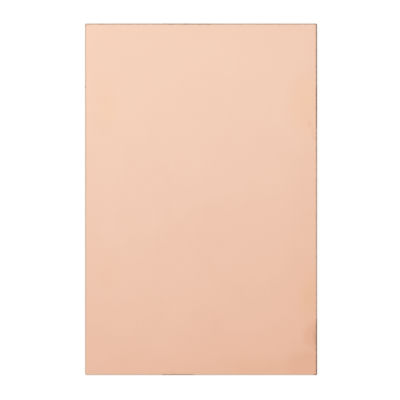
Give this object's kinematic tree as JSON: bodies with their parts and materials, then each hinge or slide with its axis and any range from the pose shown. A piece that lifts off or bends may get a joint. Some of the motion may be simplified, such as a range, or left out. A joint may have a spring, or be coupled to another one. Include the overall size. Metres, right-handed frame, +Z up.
{
  "type": "copper clad board",
  "caption": "Flat rectangular glass-epoxy board with copper foil bonded over its whole upper face and sheared edges; blank stock for etching or milling circuit boards.",
  "frame": {"origin": "centre of the underside, the bare laminate face that the board lies on", "axes": "+Z up, out of the copper face; +Y along the board's length; +X along its width"},
  "size_m": [0.099, 0.15, 0.0016],
  "materials": {
    "glass_epoxy": "pressed glass-epoxy laminate, pale yellow-green, satin, cloth weave showing through the resin",
    "copper": "bare copper foil, pale and matt, finely brushed, slightly tarnished at the rims"
  },
  "bodies": {
    "root": {"laminate": "glass_epoxy", "copper_foil": "copper"}
  },
  "joints": []
}
